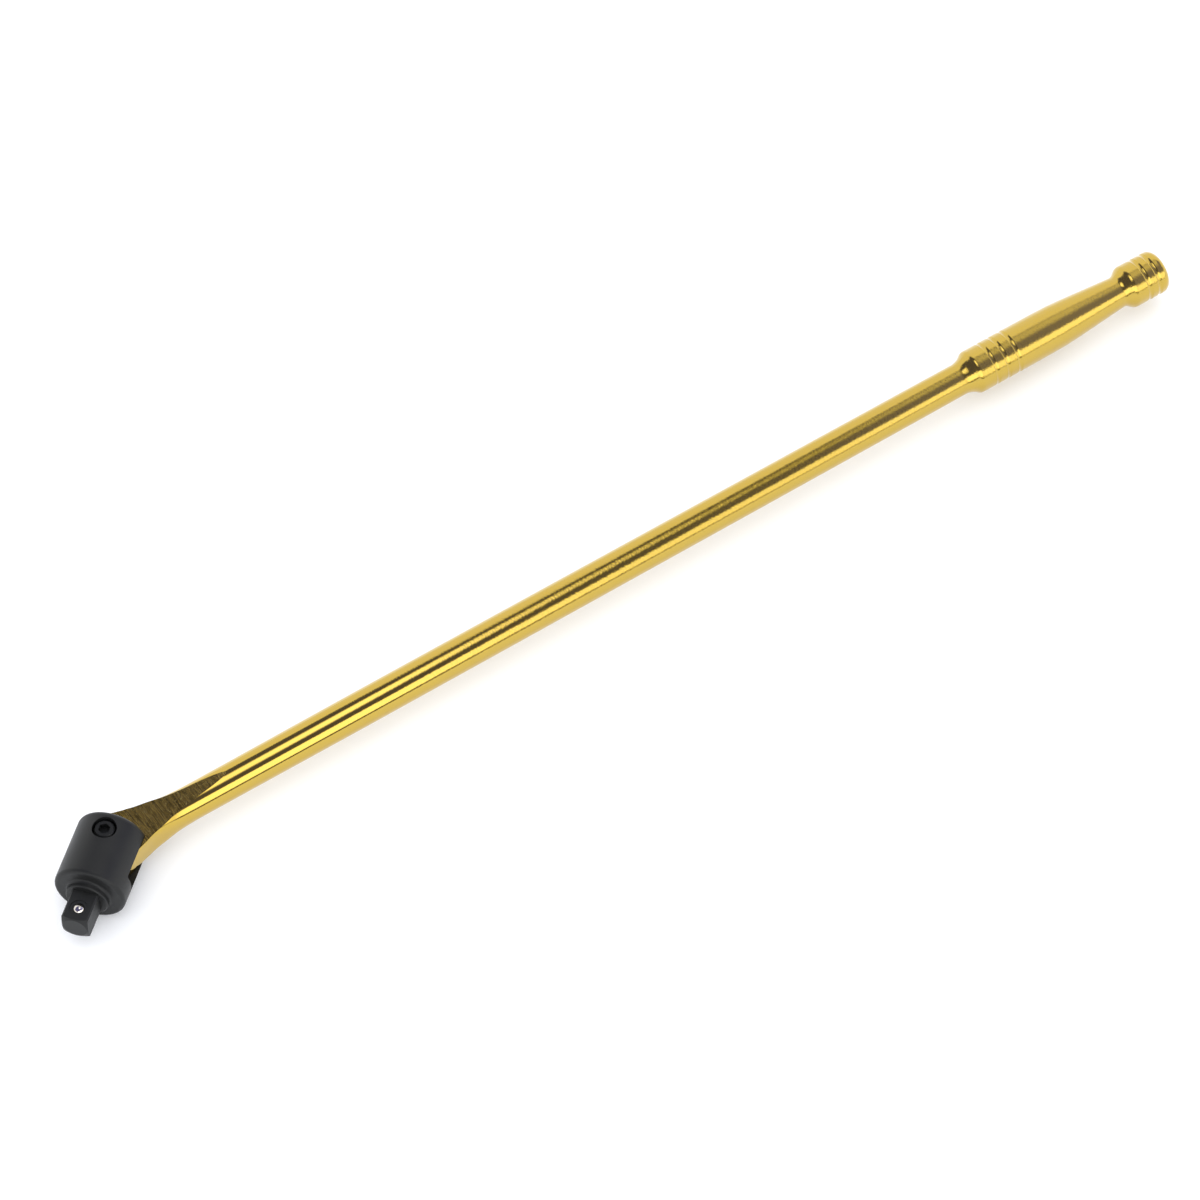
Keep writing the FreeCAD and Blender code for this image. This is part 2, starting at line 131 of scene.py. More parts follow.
def mesh_object(name, corners, faces, material):
    """Object of one mesh and one material, from its corners in metres and its faces."""
    mesh = bpy.data.meshes.new(name)
    mesh.from_pydata(corners, [], faces)
    mesh.materials.append(material)
    made = bpy.data.objects.new(name, mesh)
    bpy.context.scene.collection.objects.link(made)
    return made


print("the hex grey 808080 is", round(linear("808080")[0], 3), "in linear light")

# %% [markdown]
# ## Gold-tinted polished steel
#
# The bar is a steel forging, polished and plated with a pale gold finish. A polished metal has
# almost no colour of its own: it shows the bench and the lights, tinted. What separates it from a
# perfect mirror is its polish. The belt ran round the bar, and it left very shallow waves and fine
# lines that fray the edge between a bright and a dark reflection. They are weak by the head and
# stronger towards the grip. Real polishing lines are finer still; these are as coarse as it takes
# to be seen. The thin clear lacquer over the plating adds a weak colourless reflection.

# %% Material of the bar
PALE_GOLD = "c1a342"
WAVE_ALONG_MM = 0.8
WAVE_AROUND_MM = 1.4
WAVE_HEIGHT_MM = 0.075
POLISH_LINE_MM = 0.25
POLISH_LINE_LENGTH_MM = 4.0
POLISH_LINE_DEPTH_MM = 0.004
POLISH_LINE_STRENGTH = 0.5
FINE_POLISH_END_MM = 110
COARSE_POLISH_START_MM = 240
FINE_WAVE_SHARE = 0.2
FINE_BLUR = (0.05, 0.11)
COARSE_BLUR = 0.07
LACQUER_WEIGHT = 0.5
LACQUER_ROUGHNESS = 0.05


def stretched_noise(tree, place, along_mm, around_mm, detail):
    """Noise with cells of one size along the bar and another round it."""
    along, around = 1 / (along_mm * MM), 1 / (around_mm * MM)
    cells = add(tree, "ShaderNodeMapping", Vector=place, Scale=(along, around, around))
    noise = add(tree, "ShaderNodeTexNoise", Vector=cells.outputs[0], Scale=1.0, Detail=detail)
    return noise.outputs["Fac"]


def gold_polished_steel():
    """Mirror with a gold tint, frayed by shallow waves that grow towards the grip."""
    material, tree = new_material("gold_polished_steel")
    place = add(tree, "ShaderNodeTexCoord").outputs["Object"]
    along = add(tree, "ShaderNodeSeparateXYZ", Vector=place).outputs["X"]
    waves = stretched_noise(tree, place, WAVE_ALONG_MM, WAVE_AROUND_MM, 2.0)
    lines = stretched_noise(tree, place, POLISH_LINE_MM, POLISH_LINE_LENGTH_MM, 2.0)
    coarse = add(tree, "ShaderNodeMapRange", {"interpolation_type": "SMOOTHSTEP"}, Value=along,
                 From_Min=PIVOT.x + FINE_POLISH_END_MM * MM,
                 From_Max=PIVOT.x + COARSE_POLISH_START_MM * MM,
                 To_Min=FINE_WAVE_SHARE, To_Max=1.0)
    wavy = add(tree, "ShaderNodeBump", Distance=WAVE_HEIGHT_MM * MM, Strength=coarse.outputs[0],
               Height=waves)
    lined = add(tree, "ShaderNodeBump", Strength=POLISH_LINE_STRENGTH,
                Distance=POLISH_LINE_DEPTH_MM * MM, Height=lines, Normal=wavy.outputs[0])
    fine_blur = add(tree, "ShaderNodeMapRange", Value=lines, To_Min=FINE_BLUR[0],
                    To_Max=FINE_BLUR[1])
    blur = add(tree, "ShaderNodeMath", {"operation": "MULTIPLY_ADD"}, i0=coarse.outputs[0],
               i1=COARSE_BLUR, i2=fine_blur.outputs[0])
    shader = add(tree, "ShaderNodeBsdfPrincipled", Base_Color=linear(PALE_GOLD), Metallic=1.0,
                 Roughness=blur.outputs[0], Coat_Weight=LACQUER_WEIGHT,
                 Coat_Roughness=LACQUER_ROUGHNESS, Normal=lined.outputs[0])
    finish_material(tree, shader.outputs[0])
    return material


gold = gold_polished_steel()
print("material of the bar:", gold.name)

# %% [markdown]
# ## Ground flats
#
# The flats on the neck are ground with a belt that ran across the bar, and only lightly polished
# afterwards. Fine scratches lie across them, with a few brighter specks, so they hold no clear
# image and look darker and browner than the round of the bar.

# %% Material of the flats
SCRATCH_TONES = ("6e5a24", "d4b456")
SCRATCH_MM = 0.32
SCRATCH_LENGTH_MM = 7.0
SCRATCH_DEPTH_MM = 0.036
SCRATCH_CONTRAST = (0.36, 0.64)
SPECK_TONE = "f0dc8c"
SPECK_MM = 0.5
SPECK_CONTRAST = (0.62, 0.72)
GROUND_ROUGHNESS = 0.22


def ground_gold_steel():
    """Metal in fine stripes of two tones, with bright specks and a bump along the stripes."""
    material, tree = new_material("ground_gold_steel")
    place = add(tree, "ShaderNodeTexCoord").outputs["Object"]
    scratches = stretched_noise(tree, place, SCRATCH_MM, SCRATCH_LENGTH_MM, 3.0)
    specks = add(tree, "ShaderNodeTexNoise", Vector=place, Scale=1 / (SPECK_MM * MM), Detail=1.0)
    bright = add(tree, "ShaderNodeMapRange", Value=specks.outputs["Fac"],
                 From_Min=SPECK_CONTRAST[0], From_Max=SPECK_CONTRAST[1])
    contrast = add(tree, "ShaderNodeMapRange", Value=scratches, From_Min=SCRATCH_CONTRAST[0],
                   From_Max=SCRATCH_CONTRAST[1])
    stripe = add(tree, "ShaderNodeMix", {"data_type": "RGBA"}, i0=contrast.outputs[0],
                 i6=linear(SCRATCH_TONES[0]), i7=linear(SCRATCH_TONES[1]))
    tone = add(tree, "ShaderNodeMix", {"data_type": "RGBA"}, i0=bright.outputs[0],
               i6=stripe.outputs[2], i7=linear(SPECK_TONE))
    bump = add(tree, "ShaderNodeBump", Strength=1.0, Distance=SCRATCH_DEPTH_MM * MM,
               Height=scratches)
    shader = add(tree, "ShaderNodeBsdfPrincipled", Base_Color=tone.outputs[2], Metallic=1.0,
                 Roughness=GROUND_ROUGHNESS, Normal=bump.outputs[0])
    finish_material(tree, shader.outputs[0])
    return material


ground = ground_gold_steel()
print("material of the flats:", ground.name)

# %% [markdown]
# ## The bar, as a rule
#
# The CAD solid is right, but its mesh is only as fine as a check needs, and a mirror shows every
# facet. So the bar is made again, to the same sizes, with a smooth mesh that stands for the node.
# All of it, from the forged tang to the turned grip, follows one rule: a cross-section that is a
# square with rounded corners, whose half width, half height and corner radius change along the
# axis. Where the three are equal the section is a circle. A list of stations holds those three
# sizes, and a Geometry Nodes tree sweeps the section through them.

# %% Sections of the forged tang and the shaft
# Distance from the pivot, half width, half height and corner radius, in millimetres.
TANG = [
    (6.0, 13.9, 7.8, 3.0),
    (11.0, 12.2, 8.0, 3.4),
    (16.0, 10.6, 8.3, 3.4),
    (20.0, 9.6, 8.6, 4.4),
    (26.0, 8.9, 8.8, 5.8),
    (33.0, 8.48, 8.5, 7.3),
    (41.0, 8.35, 8.36, 8.15),
    (50.0, 8.33, 8.33, 8.33),
    (140.0, 8.5, 8.5, 8.5),
    (300.0, 8.3, 8.3, 8.3),
    (450.0, 8.0, 8.0, 8.0),
    (472.0, 7.89, 7.89, 7.89),
]
TANG_END = 52.0
TANG_STEP = 1.0
SHAFT_STEP = 12.0


def smooth_sizes(stations, at):
    """Sizes at a distance, on a smooth curve through the stations."""
    last = len(stations) - 1
    index = max(i for i in range(last) if stations[i][0] <= at)
    first, second = stations[index], stations[index + 1]
    span = second[0] - first[0]
    share = (at - first[0]) / span

    def slope(number, column):
        before, after = stations[max(number - 1, 0)], stations[min(number + 1, last)]
        return (after[column] - before[column]) / (after[0] - before[0]) * span

    sizes = []
    for column in range(1, len(first)):
        leave = (2 * share ** 3 - 3 * share ** 2 + 1) * first[column]
        arrive = (3 * share ** 2 - 2 * share ** 3) * second[column]
        bend = ((share ** 3 - 2 * share ** 2 + share) * slope(index, column)
                + (share ** 3 - share ** 2) * slope(index + 1, column))
        sizes.append(leave + arrive + bend)
    return sizes


def tang_and_shaft():
    """Sizes of the section at each ring, close together on the tang and far apart on the shaft."""
    rings = []
    at = TANG[0][0]
    while at < TANG[-1][0]:
        rings.append((at, *smooth_sizes(TANG, at)))
        at += TANG_STEP if at < TANG_END else SHAFT_STEP
    return rings


print("tang and shaft:", len(tang_and_shaft()), "rings")

# %% [markdown]
# ## The grip's outline
#
# The grip is turned on the bar's end, so its outline is drawn as a turner would: straight cuts
# with rounded corners, then grooves pressed in with a round-nosed tool. Each corner is a point
# with a radius, and one function puts the arcs in. Arcs step by four degrees, so that everything
# steeper can be a sharp edge.

# %% Outline of the grip
# Distance from the pivot, radius of the grip there and rounding of that corner, in millimetres.
GRIP = [
    (472.0, 7.89, 0.0),
    (479.3, 7.85, 11.0),
    (483.5, 11.05, 3.5),
    (505.2, 11.05, 0.0),
    (505.3, 10.95, 0.0),
    (533.4, 10.95, 195.0),
    (570.7, 7.8, 5.0),
    (575.0, 10.95, 4.0),
    (595.0, 10.95, 4.0),
    (595.0, 0.0, 0.0),
]
# Rows of grooves: distance of the first, spacing, how many and depth, in millimetres.
GROOVE_ROWS = [(492.2, 6.5, 3, 0.32), (582.6, 5.7, 2, 0.4)]
GROOVES = [(first + spacing * number, depth)
           for first, spacing, count, depth in GROOVE_ROWS for number in range(count)]
TOOL_NOSE = 2.4
ARC_STEP = math.radians(4)
EDGE_GUARD = 0.3
LONG_STRETCH = 4 * EDGE_GUARD


def round_corners(corners):
    """Points along an outline of corners (x, y, radius), with an arc in every rounded corner."""
    line = [Vector(corners[0][:2])]
    for before, corner, after in zip(corners, corners[1:], corners[2:]):
        spot = Vector(corner[:2])
        back = (Vector(before[:2]) - spot).normalized()
        ahead = (Vector(after[:2]) - spot).normalized()
        turn = math.pi - back.angle(ahead)
        reach = corner[2] * math.tan(turn / 2)
        if corner[2] == 0:
            line.append(spot)
            continue
        middle = spot + (back + ahead).normalized() * math.hypot(corner[2], reach)
        start = spot + back * reach - middle
        count = max(2, math.ceil(turn / ARC_STEP))
        side = 1 if start.x * ahead.y - start.y * ahead.x > 0 else -1
        for number in range(count + 1):
            angle = side * turn * number / count
            line.append(middle + Vector((start.x * math.cos(angle) - start.y * math.sin(angle),
                                         start.x * math.sin(angle) + start.y * math.cos(angle))))
    return line + [Vector(corners[-1][:2])]


def guard_edges(line):
    """Extra points near the ends of long straight stretches, which keep their shading straight."""
    guarded = [line[0]]
    for first, second in zip(line, line[1:]):
        length = (second - first).length
        if length > LONG_STRETCH:
            step = (second - first) / length * EDGE_GUARD
            guarded += [first + step, second - step]
        guarded.append(second)
    return guarded


def press_grooves(line):
    """The outline with every groove's arc in place of the straight stretch it is pressed into."""
    for centre, depth in GROOVES:
        half_angle = math.acos((TOOL_NOSE - depth) / TOOL_NOSE)
        half_width = TOOL_NOSE * math.sin(half_angle)
        before = [point for point in line if point.x < centre]
        surface = max(before, key=lambda point: point.x).y
        count = math.ceil(2 * half_angle / ARC_STEP)
        arc = []
        for number in range(count + 1):
            angle = half_angle * (2 * number / count - 1)
            arc.append(Vector((centre + TOOL_NOSE * math.sin(angle),
                               surface - TOOL_NOSE * math.cos(angle) + TOOL_NOSE - depth)))
        left = [point for point in line if point.x < centre - half_width]
        right = [point for point in line if point.x > centre + half_width]
        line = left + arc + right
    return line


grip_line = guard_edges(press_grooves(round_corners(GRIP)))
print("grip:", len(grip_line), "rings")

# %% [markdown]
# ## A Geometry Nodes tree that sweeps the section
#
# A grid has one row of points per station and one column per step round the bar. Each point reads
# its station's sizes by the number of its row, and its angle by its column, and the tree moves it
# to its place on the rounded square. The corner circle is pushed out towards the four corners; a
# steep smooth step in place of a plain sign keeps the flats between them gently crowned.

# %% Section sweep in Geometry Nodes
AROUND = 192
CORNER_SHARPNESS = 5.0
MERGE_MM = 0.002


def new_tree(name, sockets):
    """Geometry Nodes tree with named inputs and one mesh output, and the sockets of its inputs."""
    tree = bpy.data.node_groups.new(name, "GeometryNodeTree")
    for label, kind in sockets:
        tree.interface.new_socket(label, in_out="INPUT", socket_type=kind)
    tree.interface.new_socket("Mesh", in_out="OUTPUT", socket_type="NodeSocketGeometry")
    return tree, add(tree, "NodeGroupInput").outputs


def end_tree(tree, shape, material):
    """Last nodes of a tree: instances made real, and the material."""
    real = add(tree, "GeometryNodeRealizeInstances", Geometry=shape)
    metal = add(tree, "GeometryNodeSetMaterial", Geometry=real.outputs[0], Material=material)
    add(tree, "NodeGroupOutput", Mesh=metal.outputs[0])


def sweep_tree():
    """Tree that moves each point of a grid to its place on the section of its own station."""
    tree, given = new_tree("swept_section", [("Stations", "NodeSocketGeometry"),
                                             ("Steps Round", "NodeSocketInt"),
                                             ("Corner Sharpness", "NodeSocketFloat")])
    plus, minus = {"operation": "ADD"}, {"operation": "SUBTRACT"}
    times, over = {"operation": "MULTIPLY"}, {"operation": "DIVIDE"}
    steps_round = given["Steps Round"]
    rows = add(tree, "GeometryNodeAttributeDomainSize", Geometry=given["Stations"])
    columns = add(tree, "ShaderNodeMath", plus, i0=steps_round, i1=1.0).outputs[0]
    grid = add(tree, "GeometryNodeMeshGrid", Vertices_X=rows.outputs["Point Count"],
               Vertices_Y=columns)

    # Row and column of each point, from its number.
    number = add(tree, "GeometryNodeInputIndex").outputs[0]
    middle = add(tree, "ShaderNodeMath", plus, i0=number, i1=0.5)
    share = add(tree, "ShaderNodeMath", over, i0=middle.outputs[0], i1=columns)
    row = add(tree, "ShaderNodeMath", {"operation": "FLOOR"}, i0=share.outputs[0]).outputs[0]
    row_start = add(tree, "ShaderNodeMath", times, i0=row, i1=columns)
    column = add(tree, "ShaderNodeMath", minus, i0=number, i1=row_start.outputs[0])
    turn = add(tree, "ShaderNodeMath", over, i0=column.outputs[0], i1=steps_round)
    angle = add(tree, "ShaderNodeMath", times, i0=turn.outputs[0], i1=2 * math.pi).outputs[0]

    def station_size(name):
        field = add(tree, "GeometryNodeInputNamedAttribute", {"data_type": "FLOAT"}, Name=name)
        sample = add(tree, "GeometryNodeSampleIndex", {"data_type": "FLOAT", "domain": "POINT"},
                     Geometry=given["Stations"], Value=field.outputs["Attribute"], Index=row)
        return sample.outputs[0]

    corner = station_size("corner")

    def across(half_size, direction):
        """Distance from the axis: the corner circle, pushed out towards the corners."""
        wave = add(tree, "ShaderNodeMath", {"operation": direction}, i0=angle).outputs[0]
        steep = add(tree, "ShaderNodeMath", times, i0=wave, i1=given["Corner Sharpness"])
        side = add(tree, "ShaderNodeMath", {"operation": "TANH"}, i0=steep.outputs[0])
        room = add(tree, "ShaderNodeMath", minus, i0=half_size, i1=corner)
        push = add(tree, "ShaderNodeMath", times, i0=room.outputs[0], i1=side.outputs[0])
        circle = add(tree, "ShaderNodeMath", times, i0=corner, i1=wave)
        both = add(tree, "ShaderNodeMath", plus, i0=push.outputs[0], i1=circle.outputs[0])
        return both.outputs[0]

    place = add(tree, "ShaderNodeCombineXYZ", X=station_size("along"),
                Y=across(station_size("half_width"), "COSINE"),
                Z=across(station_size("half_height"), "SINE"))
    moved = add(tree, "GeometryNodeSetPosition", Geometry=grid.outputs["Mesh"],
                Position=place.outputs[0])
    closed = add(tree, "GeometryNodeMergeByDistance", Geometry=moved.outputs[0],
                 Distance=MERGE_MM * MM)
    end_tree(tree, closed.outputs[0], gold)
    return tree


def plain_mesh(piece, name):
    """Turn what the modifiers make into a plain mesh object, and drop the source."""
    bpy.context.view_layer.update()
    made = piece.evaluated_get(bpy.context.evaluated_depsgraph_get())
    mesh = bpy.data.meshes.new_from_object(made)
    bpy.data.objects.remove(piece)
    result = bpy.data.objects.new(name, mesh)
    bpy.context.scene.collection.objects.link(result)
    return result


def made_by(tree, source_mesh, sizes, name):
    """Plain mesh object of what a tree makes from a source mesh and its named sizes."""
    source = bpy.data.objects.new(name + "_source", source_mesh)
    bpy.context.scene.collection.objects.link(source)
    modifier = source.modifiers.new(name, "NODES")
    modifier.node_group = tree
    sockets = {item.name: item.identifier for item in tree.interface.items_tree}
    for label, size in sizes.items():
        modifier[sockets[label]] = size
    return plain_mesh(source, name)


def swept_bar():
    """The tang, the shaft and the grip in one closed mesh, as yet without the eye and the flats."""
    rings = tang_and_shaft()
    rings += [(point.x, point.y, point.y, point.y) for point in grip_line[1:]]
    closing_point = (rings[0][0], 0, 0, 0)
    rings = [closing_point] + rings
    stations = bpy.data.meshes.new("stations")
    stations.from_pydata([(ring[0] * MM, 0, 0) for ring in rings], [], [])
    for column, name in enumerate(("along", "half_width", "half_height", "corner")):
        values = stations.attributes.new(name, "FLOAT", "POINT")
        values.data.foreach_set("value", [ring[column] * MM for ring in rings])
    sizes = {"Steps Round": AROUND, "Corner Sharpness": CORNER_SHARPNESS}
    return made_by(sweep_tree(), stations, sizes, "polished_bar")


swept = swept_bar()
print("swept bar:", len(swept.data.vertices), "points")

# %% [markdown]
# ## Eye, flats and bores
#
# The eye is a flat disc joined to the tang. Then the forging is cut as it is at the works: a ramp
# and a long flat ground on each side, and two bores drilled through the eye. Boolean modifiers do
# this, because the edges where a flat meets a round surface are curves that no list of points
# would hold. The disc is made thicker than the eye, so that one cut faces both it and the tang.

# %% Shapes that cut the bar
# Sizes in millimetres; each pair is a distance from the pivot and a height above the axis.
EYE_RAD = 15.2
EYE_EDGE = 0.5
EYE_SPARE = 0.25
EYE_STEPS = 160
TONGUE_HALF = 5.75
SHOULDER_FOOT = (15.1, TONGUE_HALF)
SHOULDER_TOP = (15.8, 5.9)
FLAT_END = (66.0, 8.44)
CUT_CLEAR = 20.0


def upright_drum(name, centre_x, outline, steps):
    """Closed solid of revolution about an upright axis, from an outline of (radius, height)."""
    corners = []
    for radius, height in outline:
        for step in range(steps):
            angle = 2 * math.pi * step / steps
            x, y = centre_x + radius * math.cos(angle), radius * math.sin(angle)
            corners.append((x * MM, y * MM, height * MM))
    faces = []
    for row in range(len(outline) - 1):
        for step in range(steps):
            after = (step + 1) % steps
            faces.append((row * steps + step, row * steps + after,
                          (row + 1) * steps + after, (row + 1) * steps + step))
    faces.append(tuple(reversed(range(steps))))
    faces.append(tuple(range((len(outline) - 1) * steps, len(outline) * steps)))
    return mesh_object(name, corners, faces, gold)


def flat_cutter(name, side):
    """Prism over one side of the bar, its underside the path of the ramp and the flat."""
    path = [(-CUT_CLEAR, TONGUE_HALF), SHOULDER_FOOT, SHOULDER_TOP, FLAT_END,
            (FLAT_END[0], CUT_CLEAR), (-CUT_CLEAR, CUT_CLEAR)]
    corners = [(x * MM, y * MM, side * z * MM) for y in (-CUT_CLEAR, CUT_CLEAR) for x, z in path]
    count = len(path)
    faces = [tuple(range(count)), tuple(reversed(range(count, 2 * count)))]
    for step in range(count):
        after = (step + 1) % count
        faces.append((step, step + count, after + count, after))
    if side < 0:
        faces = [tuple(reversed(face)) for face in faces]
    return mesh_object(name, corners, faces, ground)


def eye_disc():
    """Disc of the eye with its rim chamfered, a little thicker than the finished eye."""
    inner = EYE_RAD - EYE_EDGE - EYE_SPARE
    chamfer_end = TONGUE_HALF - EYE_EDGE
    top = TONGUE_HALF + EYE_SPARE
    outline = [(inner, -top), (EYE_RAD, -chamfer_end), (EYE_RAD, chamfer_end), (inner, top)]
    return upright_drum("eye_disc", 0.0, outline, EYE_STEPS)


cuts = [("UNION", eye_disc()), ("DIFFERENCE", flat_cutter("near_flat", 1)),
        ("DIFFERENCE", flat_cutter("far_flat", -1))]
print("thickness of the eye:", 2 * TONGUE_HALF, "mm")

# %% [markdown]
# The last two cuts are the bore for the pivot screw and the cross bore that holds the friction
# balls and their spring. Each piece that cuts hands its material to the faces it leaves, so the
# flats are ground and the bores are polished. Edges sharper than a few degrees stay crisp.

# %% Cutting the bar
PIVOT_BORE_RAD = 4.05
PIVOT_BORE_STEPS = 64
BALL_BORE_RAD = 2.05
BALL_BORE_X = -9.3
BALL_BORE_STEPS = 48
SHARP_ANGLE = math.radians(7)


def drill(name, centre_x, radius, steps):
    """Upright cylinder that goes right through the eye."""
    return upright_drum(name, centre_x, [(radius, -CUT_CLEAR), (radius, CUT_CLEAR)], steps)


def cut_bar(bar, cuts):
    """One mesh of the bar after a list of (operation, helper), with the helpers removed."""
    for operation, helper in cuts:
        cut = bar.modifiers.new(helper.name, "BOOLEAN")
        cut.operation = operation
        cut.solver = "EXACT"
        cut.material_mode = "TRANSFER"
        cut.object = helper
    result = plain_mesh(bar, "bar_forging")
    for _, helper in cuts:
        bpy.data.objects.remove(helper)
    return result


cuts += [("DIFFERENCE", drill("pivot_drill", 0.0, PIVOT_BORE_RAD, PIVOT_BORE_STEPS)),
         ("DIFFERENCE", drill("ball_drill", BALL_BORE_X, BALL_BORE_RAD, BALL_BORE_STEPS))]
bar_piece = cut_bar(swept, cuts)
bar_piece.data.transform(Matrix.Translation(PIVOT))
bar_piece.data.shade_smooth()
bar_piece.data.set_sharp_from_angle(angle=SHARP_ANGLE)
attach(bar_piece, "bar")
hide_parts("bar")
print("bar:", len(bar_piece.data.polygons), "faces")

# %% [markdown]
# ## Black oxide steel
#
# The head and its screw are impact-grade steel, blasted and blacked in a hot oxide bath. That
# leaves a dark satin skin with a fine even grain: it holds no mirror image, only soft sheens along
# rounded edges. Its grain is finer than it can be seen here, so the noise that dimples the surface
# is as coarse as a quarter of a millimetre. Wide faint patches vary the tone and the sheen.

# %% Material of the head and the screw
OXIDE_GRAIN_MM = 0.25
OXIDE_DIMPLE_MM = 0.03
OXIDE_DIMPLE_STRENGTH = 0.25
OXIDE_PATCH_MM = 9
OXIDE_SPECULAR = 0.26
SHEEN_SPREAD = (-0.05, 0.08)


def black_oxide(name, tones, roughness):
    """Dark satin skin between two close tones, with fine dimples."""
    material, tree = new_material(name)
    place = add(tree, "ShaderNodeTexCoord").outputs["Object"]
    grain = add(tree, "ShaderNodeTexNoise", Vector=place, Scale=1 / (OXIDE_GRAIN_MM * MM),
                Detail=4.0)
    patches = add(tree, "ShaderNodeTexNoise", Vector=place, Scale=1 / (OXIDE_PATCH_MM * MM),
                  Detail=3.0).outputs["Fac"]
    tone = add(tree, "ShaderNodeMix", {"data_type": "RGBA"}, i0=patches, i6=linear(tones[0]),
               i7=linear(tones[1]))
    sheen = add(tree, "ShaderNodeMapRange", Value=patches, To_Min=roughness + SHEEN_SPREAD[0],
                To_Max=roughness + SHEEN_SPREAD[1])
    bump = add(tree, "ShaderNodeBump", Strength=OXIDE_DIMPLE_STRENGTH,
               Distance=OXIDE_DIMPLE_MM * MM, Height=grain.outputs["Fac"])
    shader = add(tree, "ShaderNodeBsdfPrincipled", Base_Color=tone.outputs[2],
                 Roughness=sheen.outputs[0], Specular_IOR_Level=OXIDE_SPECULAR,
                 Normal=bump.outputs[0])
    finish_material(tree, shader.outputs[0])
    return material


dress(["drive_head"], black_oxide("black_oxide_steel", ("1a1b1b", "222323"), roughness=0.42))
dress(["pivot_screw"], black_oxide("black_oxide_screw", ("141515", "1b1c1c"), roughness=0.34))
print("material of the head:", nodes["drive_head"].data.materials[0].name)

# %% [markdown]
# ## Bright steel
#
# The detent ball is a hardened bearing ball, ground and lapped to a true mirror. The springs are
# drawn wire, a little duller. Both are nearly neutral in colour.

# %% Materials of the balls and the springs
BLUR_SPREAD = (0.7, 1.3)


def bright_steel(name, tint, roughness, grain_mm):
    """Bright neutral metal whose roughness varies a little from place to place."""
    material, tree = new_material(name)
    place = add(tree, "ShaderNodeTexCoord").outputs["Object"]
    grain = add(tree, "ShaderNodeTexNoise", Vector=place, Scale=1 / (grain_mm * MM), Detail=2.0)
    blur = add(tree, "ShaderNodeMapRange", Value=grain.outputs["Fac"],
               To_Min=roughness * BLUR_SPREAD[0], To_Max=roughness * BLUR_SPREAD[1])
    shader = add(tree, "ShaderNodeBsdfPrincipled", Base_Color=linear(tint), Metallic=1.0,
                 Roughness=blur.outputs[0])
    finish_material(tree, shader.outputs[0])
    return material


dress(["drive_ball", "upper_friction_ball", "lower_friction_ball"],
      bright_steel("lapped_ball_steel", "d2ccc4", roughness=0.06, grain_mm=1.5))
drawn_steel = bright_steel("drawn_spring_steel", "9a9a9c", roughness=0.3, grain_mm=0.3)
dress(["friction_spring"], drawn_steel)
print("material of the springs:", drawn_steel.name)

# %% [markdown]
# ## The spring under the sprung ball
#
# This spring is squeezed when a socket pushes the ball in. It is
# wound again here, as the real one is, from round wire at one pitch: a spiral with a small circle
# swept along it. Its place and length come from the CAD solid, and it stands on that solid's foot.

# %% Ball spring
COIL_RAD_MM = 2.0
COIL_PITCH_MM = 0.85
COIL_STEPS = 48
WIRE_RAD_MM = 0.3
WIRE_STEPS = 16


def spring_tree():
    """Tree that sweeps a circle of wire along a spiral of constant radius."""
    tree, given = new_tree("wound_wire", [(label, "NodeSocketFloat") for label in
                                          ("Length", "Pitch", "Coil Radius", "Wire Radius")])
    turns = add(tree, "ShaderNodeMath", {"operation": "DIVIDE"}, i0=given["Length"],
                i1=given["Pitch"])
    helix = add(tree, "GeometryNodeCurveSpiral", Resolution=COIL_STEPS,
                Rotations=turns.outputs[0], Start_Radius=given["Coil Radius"],
                End_Radius=given["Coil Radius"], Height=given["Length"])
    section = add(tree, "GeometryNodeCurvePrimitiveCircle", Resolution=WIRE_STEPS,
                  Radius=given["Wire Radius"])
    tube = add(tree, "GeometryNodeCurveToMesh", Curve=helix.outputs[0],
               Profile_Curve=section.outputs[0], Fill_Caps=True)
    end_tree(tree, tube.outputs[0], drawn_steel)
    return tree


spring_low, spring_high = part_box("drive_ball_spring")
spring_foot = (spring_low + spring_high) / 2
spring_foot.z = spring_low.z
spring_height = spring_high.z - spring_low.z
wire_sizes = {"Length": spring_height - 2 * WIRE_RAD_MM * MM, "Pitch": COIL_PITCH_MM * MM,
              "Coil Radius": COIL_RAD_MM * MM, "Wire Radius": WIRE_RAD_MM * MM}
ball_spring = made_by(spring_tree(), bpy.data.meshes.new("wire"), wire_sizes, "wound_ball_spring")
ball_spring.data.transform(Matrix.Translation(spring_foot + Vector((0, 0, WIRE_RAD_MM * MM))))
ball_spring.data.shade_smooth()
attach(ball_spring, "drive_head")
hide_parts("drive_ball_spring")
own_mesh(ball_spring)
print("ball spring:", round(spring_height / MM, 2), "mm high")

# %% [markdown]
# ## The bench
#
# A plain pale floor at the height on which the tool lies. It runs far out on every side, so that
# a low camera sees no edge. The even light of the room makes it nearly white and leaves a soft
# grey halo where the tool keeps that light off it.

# %% Floor
FLOOR_HALF = 40.0
FLOOR_TONE = "f2f4f9"
FLOOR_ROUGHNESS = 0.9
FLOOR_GLOW = 0.13


def pale_floor():
    """Matt and nearly white, with a weak glow that lifts its shadows."""
    material, tree = new_material("pale_floor")
    shader = add(tree, "ShaderNodeBsdfPrincipled", Base_Color=linear(FLOOR_TONE),
                 Roughness=FLOOR_ROUGHNESS, Specular_IOR_Level=0.0,
                 Emission_Color=linear("ffffff"), Emission_Strength=FLOOR_GLOW)
    finish_material(tree, shader.outputs[0])
    return material


